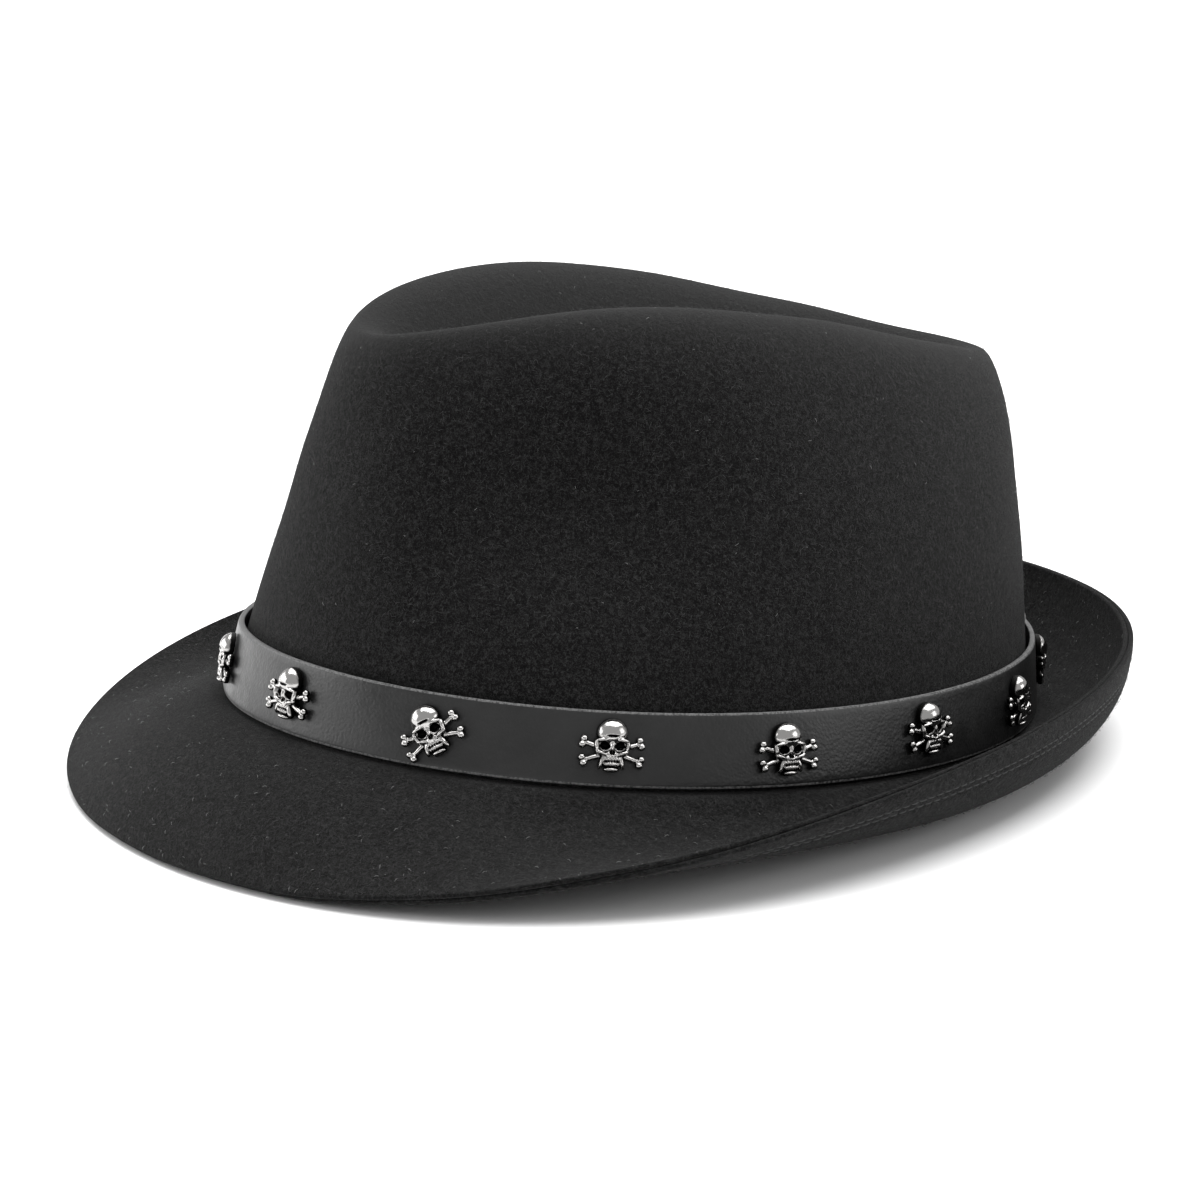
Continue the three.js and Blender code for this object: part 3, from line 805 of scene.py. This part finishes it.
def add_sweatband():
    turns = np.linspace(0, FULL_TURN, COLUMNS, endpoint=False)[None, :]
    ups = np.linspace(0, SWEATBAND_TOP, SWEATBAND_ROWS)[:, None]
    wall = wall_point(*np.broadcast_arrays(turns, ups))
    hanging = wall[:1] - np.array([0, 0, SWEATBAND_HANG])
    points = np.concatenate([hanging, wall])
    normals = sheet_normals(points)
    normals[0, :, 2] = 0
    normals[0] = unit(normals[0])
    wrinkle = sum(depth * np.sin(count * turns + shift) for depth, count, shift in WRINKLES)
    points = points + normals * (wrinkle * np.linspace(0, 1, len(points))[:, None])[..., None]
    band = add_sheet("sweatband_leather", points, normals, SWEATBAND_TO - SWEATBAND_LEATHER, SWEATBAND_TO,
                     SWEATBAND, "hat", edge=1)
    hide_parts("sweatband")
    line = points[2] + normals[2] * (SWEATBAND_TO - SWEATBAND_LEATHER)
    add_stitches("sweatband_stitches", line, -normals[2],
                 pitch=2.8, radius=0.2, sink=0.08)

    depth = SWEATBAND_HANG + GAP + REED_RADIUS
    inset = CROWN_INSET - (SWEATBAND_TO - SWEATBAND_LEATHER / 2)
    centres = oval_point(turns[0], inset) - np.array([0, 0, depth])
    away = outward(turns[0])
    angles = np.linspace(0, FULL_TURN, REED_SIDES, endpoint=False)
    cord = np.array([
        centres + away * REED_RADIUS * math.cos(angle) + np.array([0, 0, REED_RADIUS * math.sin(angle)])
        for angle in angles
    ])
    mesh = mesh_from("sweatband_reed_cord", placed(cord), grid_faces(REED_SIDES, COLUMNS, True, True))
    reed = add_object("sweatband_reed_cord", mesh, REED, "hat")
    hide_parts("sweatband_reed")


def add_label():
    turns = math.pi + np.linspace(-LABEL_HALF_ANGLE, LABEL_HALF_ANGLE, LABEL_COLUMNS)[None, :]
    ups = np.linspace(*LABEL_RISE, LABEL_ROWS)[:, None]
    points = wall_point(*np.broadcast_arrays(turns, ups))
    normals = sheet_normals(points, closed=False)
    label = add_sheet("blank_cloth_tab", points, normals, LABEL_TO - LABEL_CLOTH, LABEL_TO, LABEL, "hat",
                      closed=False)
    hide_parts("blank_label")
    span(points[0])
    span(points[:, 0])


# ---- the hatband --------------------------------------------------------------------------------------

STRAP_COLUMNS = 721
EDGE_HEIGHTS = np.array([0, 0.15, 0.4, 0.9])
WORN_EDGE = 0.22
PULL_DEPTH = 0.22
PULL_HALF_WIDTH = 5
PULL_HALF_LENGTH = 6
RIPPLE = 0.1
LAP_EARLY = 1
BETWEEN_FROM = 2
BETWEEN_ROWS = 14


def add_strap():
    """One strip of leather with a pale cut edge. Its second end climbs over its first at the back."""
    length = BAND_LENGTH + LAP_LENGTH
    start = JOINT_ARC - BAND_LENGTH - LAP_LENGTH / 2
    climb_to = length - LAP_LENGTH - LAP_EARLY
    arcs = start + np.linspace(0, length, STRAP_COLUMNS)
    turns = turn_at(arcs)[None, :]
    between = np.linspace(BETWEEN_FROM, STRAP_WIDTH - BETWEEN_FROM, BETWEEN_ROWS)
    heights = np.concatenate([EDGE_HEIGHTS, between, STRAP_WIDTH - EDGE_HEIGHTS[::-1]])
    points = np.array([band_point(turns[0], height) for height in heights])
    normals = sheet_normals(points, closed=False)
    climb = (LAP_FROM - STRAP_FROM) * smooth_step(arcs - start, climb_to - CLIMB_LENGTH, climb_to)
    from_edge = np.minimum(heights, STRAP_WIDTH - heights)
    worn_edge = WORN_EDGE * (1 - smooth_step(from_edge, 0, EDGE_HEIGHTS[-1])) ** 2
    stud_arcs = BAND_CREEP + (np.arange(STUD_COUNT) - (STUD_COUNT - 1) / 2) * STUD_SPACING
    across = (heights[:, None, None] - STRAP_WIDTH / 2) / PULL_HALF_WIDTH
    along = (arcs[None, :, None] - stud_arcs[None, None, :]) / PULL_HALF_LENGTH
    pulled = PULL_DEPTH * bell(np.sqrt(across ** 2 + along ** 2)).sum(axis=-1)
    ripple = RIPPLE * np.sin(arcs / 7.3) * np.sin(heights[:, None] / 6 + arcs / 23)
    lift = climb[None, :] + ripple - pulled
    base = points + normals * lift[..., None]
    strap = add_sheet("hatband_leather", base, normals, np.full(len(heights), STRAP_FROM),
                      STRAP_TO - worn_edge, STRAP, "hatband", closed=False, bulge=0.1, edge=3)
    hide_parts("hatband_strap")


# ---- the studs ----------------------------------------------------------------------------------------

POST_RADIUS = 1.2
POST_SINK = 0.3
POST_SIDES = 24
BONE_TILT = math.radians(18)
BONE_HALF = 7.0
BONE_MIDDLE = Vector((0, -1.2, 0.55))
TEETH = 6
TOOTH_PITCH = 0.66
SKULL_CELL = 0.13


def ball(working, centre, radii, turned=0.0):
    matrix = (Matrix.Translation(centre) @ Matrix.Rotation(turned, 4, "Z")
              @ Matrix.Diagonal((*radii, 1)))
    bmesh.ops.create_icosphere(working, subdivisions=4, radius=1, matrix=matrix)


def skull_solid():
    """The raised parts of a plain skull, as overlapping rounded lumps. It faces +z, crown towards +y."""
    working = bmesh.new()
    ball(working, (0, 3.1, 0.1), (3.7, 3.5, 3.2))
    ball(working, (0, 0.5, 0.1), (4.2, 2.5, 2.4))
    for side in (-1, 1):
        ball(working, (side * 1.9, 1.55, 2.05), (2.0, 0.5, 0.8), side * -0.12)
        ball(working, (side * 3.6, 0.1, 1.3), (0.6, 1.6, 1.1), side * -0.1)
        ball(working, (side * 2.5, -1.5, 1.4), (1.6, 0.6, 1.1), side * 0.35)
        ball(working, (side * 2.3, -3.4, 0.7), (0.6, 1.9, 1.3), side * 0.3)
    ball(working, (0, 0.2, 1.9), (0.5, 1.6, 1.0))
    ball(working, (0, -1.9, 0.8), (2.1, 1.1, 1.6))
    ball(working, (0, -3.6, 0.3), (2.2, 1.6, 1.5))
    ball(working, (0, -5.3, 0.7), (1.9, 0.65, 1.4))
    for tooth in range(TEETH):
        x = (tooth - (TEETH - 1) / 2) * TOOTH_PITCH
        depth = 2.3 - 0.09 * x * x
        ball(working, (x, -2.85, depth - 0.5), (0.29, 0.6, 0.55))
        ball(working, (x * 0.92, -4.05, depth - 0.6), (0.27, 0.45, 0.5))
    return working


def hollows_solid():
    working = bmesh.new()
    ball(working, (0, 2.4, 4.1), (3.4, 0.42, 1.5))
    for side in (-1, 1):
        ball(working, (side * 1.85, 0.1, 3.0), (1.4, 1.15, 2.1), side * 0.12)
        ball(working, (side * 0.34, -1.35, 2.9), (0.42, 0.75, 1.3), side * -0.25)
        ball(working, (side * 4.4, 2.0, 2.2), (0.7, 1.3, 1.2), side * 0.5)
    return working


def bones_solid():
    """Crossed bones with a pair of knobs at each end, behind the jaw."""
    working = bmesh.new()
    for lean in (-BONE_TILT, BONE_TILT):
        along = Vector((math.cos(lean), math.sin(lean), 0))
        side = Vector((-math.sin(lean), math.cos(lean), 0))
        ball(working, BONE_MIDDLE, (BONE_HALF, 0.62, 0.85), lean)
        for end in (-1, 1):
            shaft = BONE_MIDDLE + along * end * BONE_HALF * 0.55
            tip = BONE_MIDDLE + along * end * BONE_HALF
            ball(working, shaft, (BONE_HALF * 0.5, 0.66, 0.8), lean)
            for knob in (-1, 1):
                ball(working, tip + side * knob * 0.72, (0.9, 0.82, 0.95), lean)
    return working


def helper_object(name, working):
    mesh = bpy.data.meshes.new(name)
    working.to_mesh(mesh)
    working.free()
    helper = bpy.data.objects.new(name, mesh)
    bpy.context.scene.collection.objects.link(helper)
    return helper


def remeshed(helper, size):
    modifier = helper.modifiers.new("blend", "REMESH")
    modifier.mode = "VOXEL"
    modifier.voxel_size = size


def baked_mesh(helper):
    bpy.context.view_layer.update()
    graph = bpy.context.evaluated_depsgraph_get()
    return bpy.data.meshes.new_from_object(helper.evaluated_get(graph), depsgraph=graph)


def skull_mesh():
    """The stud as cast, in millimetres: its lumps melted together, with the sockets pressed in."""
    skull, hollows, bones = (helper_object(name, lumps()) for name, lumps in (
        ("skull_lumps", skull_solid), ("skull_hollows", hollows_solid), ("skull_bones", bones_solid)))
    for helper in (skull, hollows, bones):
        remeshed(helper, SKULL_CELL)
    for helper, operation in ((hollows, "DIFFERENCE"), (bones, "UNION")):
        shaped = skull.modifiers.new(helper.name, "BOOLEAN")
        shaped.operation = operation
        shaped.object = helper
        shaped.solver = "FAST"
    remeshed(skull, SKULL_CELL)
    soften = skull.modifiers.new("soften", "SMOOTH")
    soften.factor = 0.5
    soften.iterations = 2
    mesh = baked_mesh(skull)
    for helper in (skull, hollows, bones):
        bpy.data.objects.remove(helper)
    return mesh


LEVELLING_STEPS = 60
LOW_HEIGHT = 1.1
# How far patina darkens the sunk parts, and how far painted shade darkens the low parts and the steep sides.
PATINA_AND_SHADE_EVERYWHERE = 0.05
PATINA_IF_SUNK = 2.4
PAINTED_SHADE_IF_LOW = 0.45
PAINTED_SHADE_IF_STEEP = 0.9


def patina_and_shade_values(mesh):
    """How dark each point is painted, from 0 on the high parts to 1: patina in recesses, painted shade on
    steep sides and low parts.
    """
    count = len(mesh.vertices)
    points = np.empty(count * 3, dtype=np.float64)
    mesh.vertices.foreach_get("co", points)
    points = points.reshape(-1, 3)
    pairs = np.empty(len(mesh.edges) * 2, dtype=np.int32)
    mesh.edges.foreach_get("vertices", pairs)
    first, second = pairs.reshape(-1, 2).T
    degree = np.bincount(first, minlength=count) + np.bincount(second, minlength=count)
    level = points[:, 2].copy()
    for _ in range(LEVELLING_STEPS):
        total = np.bincount(first, level[second], count) + np.bincount(second, level[first], count)
        level = total / np.maximum(degree, 1)
    leaning = np.empty(count * 3, dtype=np.float64)
    mesh.vertices.foreach_get("normal", leaning)
    steep = 1 - np.clip(leaning.reshape(-1, 3)[:, 2], 0, 1)
    low = np.clip(1 - points[:, 2] / LOW_HEIGHT, 0, 1)
    patina_and_shade = (level - points[:, 2]) * PATINA_IF_SUNK + PATINA_AND_SHADE_EVERYWHERE
    # Painted shade: the low parts near the back are darkened as shade, and the steep sides as a dark
    # reflection.
    patina_and_shade += PAINTED_SHADE_IF_LOW * low + PAINTED_SHADE_IF_STEEP * steep ** 2
    return np.clip(patina_and_shade, 0, 1)


def finished_stud_mesh():
    """The cast stud, cut flat at its back, with its post."""
    mesh = skull_mesh()
    working = bmesh.new()
    working.from_mesh(mesh)
    geometry = working.verts[:] + working.edges[:] + working.faces[:]
    bmesh.ops.bisect_plane(working, geom=geometry, plane_co=(0, 0, 0), plane_no=(0, 0, 1), clear_inner=True)
    bmesh.ops.holes_fill(working, edges=[edge for edge in working.edges if edge.is_boundary])
    length = STUD_FROM - GAP + POST_SINK
    middle = Matrix.Translation((0, 0, POST_SINK - length / 2))
    bmesh.ops.create_cone(working, cap_ends=True, segments=POST_SIDES, radius1=POST_RADIUS,
                          radius2=POST_RADIUS, depth=length, matrix=middle)
    working.to_mesh(mesh)
    working.free()
    # Patina in the recesses, with painted shade on the steep sides and low parts, for the metal's colour.
    set_attribute(mesh, "patina_and_shade", patina_and_shade_values(mesh))
    for polygon in mesh.polygons:
        polygon.use_smooth = True
    mesh.materials.append(STUD_METAL)
    return mesh


def add_studs():
    mesh = finished_stud_mesh()
    mesh.transform(Matrix.Scale(MM, 4))
    for index in range(STUD_COUNT):
        number = f"{index + 1:02d}"
        stud = bpy.data.objects.new(f"skull_face_{number}", mesh)
        bpy.context.scene.collection.objects.link(stud)
        place = HAT_TO_FRAME @ stud_place(index) @ Matrix.Translation((0, 0, STUD_FROM))
        stud.matrix_world = place @ Matrix.Scale(1 / MM, 4)
        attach(stud, f"stud_{number}")
        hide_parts(f"skull_stud_{number}")


def repaint_frame():
    """The washers and rivets keep their CAD shapes, with a worn metal finish."""
    for name, node in frame["nodes"].items():
        if name.startswith(("stud_washer", "lap_rivet")):
            node.data.materials.clear()
            node.data.materials.append(RIVET_METAL)


# ---- fuzz and lint ------------------------------------------------------------------------------------

FIBRE_BOW = 0.25
CROWN_CLEAR_ROWS = 8
BRIM_CLEAR_ROWS = 6
LINT_CLEAR_ROWS = 8
FUZZ = {"shortest": 0.5, "longest": 1.6, "radius": 0.035, "stand": 0.3}
BRIM_LINT = {"shortest": 0.3, "longest": 1.3, "radius": 0.035, "stand": 0.1}
CROWN_LINT = {"shortest": 0.3, "longest": 1.0, "radius": 0.035, "stand": 0.1}


def scattered(points, normals, count, seed, shortest, longest, radius, stand):
    """Loose fibres scattered over a grid, each lying nearly flat and bowed up off the surface."""
    dice = np.random.default_rng(seed)
    rows, columns = points.shape[:2]
    ahead = np.roll(points, -1, 1)[:-1] - points[:-1]
    area = np.linalg.norm(np.cross(points[1:] - points[:-1], ahead), axis=-1)
    chance = area.ravel() / area.sum()
    chosen = dice.choice(area.size, count, p=chance)
    row, column = np.divmod(chosen, columns)
    start = points[row, column] + (points[row + 1, column] - points[row, column]) * dice.random((count, 1))
    start += (points[row, (column + 1) % columns] - points[row, column]) * dice.random((count, 1))
    normal = normals[row, column]
    heading = unit(np.cross(normal, dice.normal(size=(count, 3))))
    length = dice.uniform(shortest, longest, (count, 1))
    lift = dice.uniform(0, stand, (count, 1)) * length
    end = start + heading * length + normal * lift
    return start, end, normal, np.full(count, radius), length[:, 0] * FIBRE_BOW


def add_fuzz(name, clouds, material):
    gathered = [np.concatenate(column) for column in zip(*clouds)]
    points, faces = capsules(*gathered, sides=3)
    piece = add_object(name, mesh_from(name, placed(points), faces), material, "hat")


# ---- stage --------------------------------------------------------------------------------------------

def add_floor():
    size = 60.0
    mesh = bpy.data.meshes.new("floor")
    half = size / 2
    corners = [(-half, -half, 0), (half, -half, 0), (half, half, 0), (-half, half, 0)]
    mesh.from_pydata(corners, [], [(0, 1, 2, 3)])
    mesh.materials.append(floor_material())
    floor = bpy.data.objects.new("floor", mesh)
    bpy.context.scene.collection.objects.link(floor)


def direction(azimuth, elevation):
    """Towards a viewer at an azimuth, from the front and growing to the wearer's left, and an elevation."""
    level = math.cos(elevation)
    return Vector((math.sin(azimuth) * level, -math.cos(azimuth) * level, math.sin(elevation)))


def add_light(name, azimuth, elevation, distance, size, power):
    data = bpy.data.lights.new(name, "AREA")
    data.shape = "RECTANGLE"
    data.size, data.size_y = size
    data.energy = power
    light = bpy.data.objects.new(name, data)
    bpy.context.scene.collection.objects.link(light)
    back = direction(math.radians(azimuth), math.radians(elevation))
    light.location = HAT_TO_FRAME.translation + back * distance
    light.rotation_euler = back.to_track_quat("Z", "Y").to_euler()


WORLD_STRENGTH = 0.62


def add_world():
    world = bpy.data.worlds.new("studio")
    bpy.context.scene.world = world
    world.use_nodes = True
    background = world.node_tree.nodes["Background"]
    background.inputs["Color"].default_value = (1, 1, 1, 1)
    background.inputs["Strength"].default_value = WORLD_STRENGTH


def add_camera():
    """A long lens that looks at the hat's front from its left. The angles are about the hat's own axes."""
    azimuth = math.radians(57.54)
    elevation = math.radians(13.28)
    roll = math.radians(3.34)
    distance = 1.2
    aim_right = -0.0088
    aim_up = 0.0230
    turned = HAT_TO_FRAME.to_3x3().normalized()
    back = turned @ direction(azimuth, elevation)
    right = Matrix.Rotation(roll, 3, back) @ (turned @ Vector((math.cos(azimuth), math.sin(azimuth), 0)))
    up = back.cross(right)
    centre = HAT_TO_FRAME.translation
    place = centre + back * distance
    aim = centre + right * aim_right + up * aim_up
    back = (place - aim).normalized()
    right = up.cross(back).normalized()
    data = bpy.data.cameras.new("camera")
    data.lens = 144
    data.sensor_width = 36
    camera = bpy.data.objects.new("camera", data)
    facing = Matrix((right, back.cross(right), back)).transposed().to_4x4()
    camera.matrix_world = Matrix.Translation(place) @ facing
    bpy.context.scene.collection.objects.link(camera)
    bpy.context.scene.camera = camera


crown_face, crown_face_normals = add_crown()
brim_face, brim_face_normals = add_brim()
add_lining()
add_sweatband()
add_label()
add_strap()
add_studs()
repaint_frame()
lower_face = brim_face + brim_face_normals * BRIM_THICKNESS
bare_crown = (crown_face[CROWN_CLEAR_ROWS:-1], crown_face_normals[CROWN_CLEAR_ROWS:-1])
upper_brim = (brim_face[BRIM_CLEAR_ROWS:], -brim_face_normals[BRIM_CLEAR_ROWS:])
lower_brim = (lower_face[BRIM_CLEAR_ROWS:], brim_face_normals[BRIM_CLEAR_ROWS:])
lint_brim = (brim_face[LINT_CLEAR_ROWS:], -brim_face_normals[LINT_CLEAR_ROWS:])
add_fuzz("felt_fuzz", [
    scattered(*bare_crown, count=9000, seed=1, **FUZZ),
    scattered(*upper_brim, count=5000, seed=2, **FUZZ),
    scattered(*lower_brim, count=4000, seed=3, **FUZZ),
], FELT_FIBRE)
add_fuzz("lint_fibres", [
    scattered(*lint_brim, count=420, seed=4, **BRIM_LINT),
    scattered(*bare_crown, count=130, seed=5, **CROWN_LINT),
], LINT)

add_floor()
add_world()
add_light("overhead_softbox", azimuth=-145, elevation=70, distance=2.6, size=(3.6, 3.2), power=160)
add_light("front_softbox", azimuth=-44, elevation=18, distance=1.6, size=(1.7, 0.8), power=13)
add_light("rear_softbox", azimuth=135, elevation=20, distance=1.7, size=(0.9, 0.7), power=5)
bpy.context.scene.view_settings.view_transform = "Standard"
add_camera()
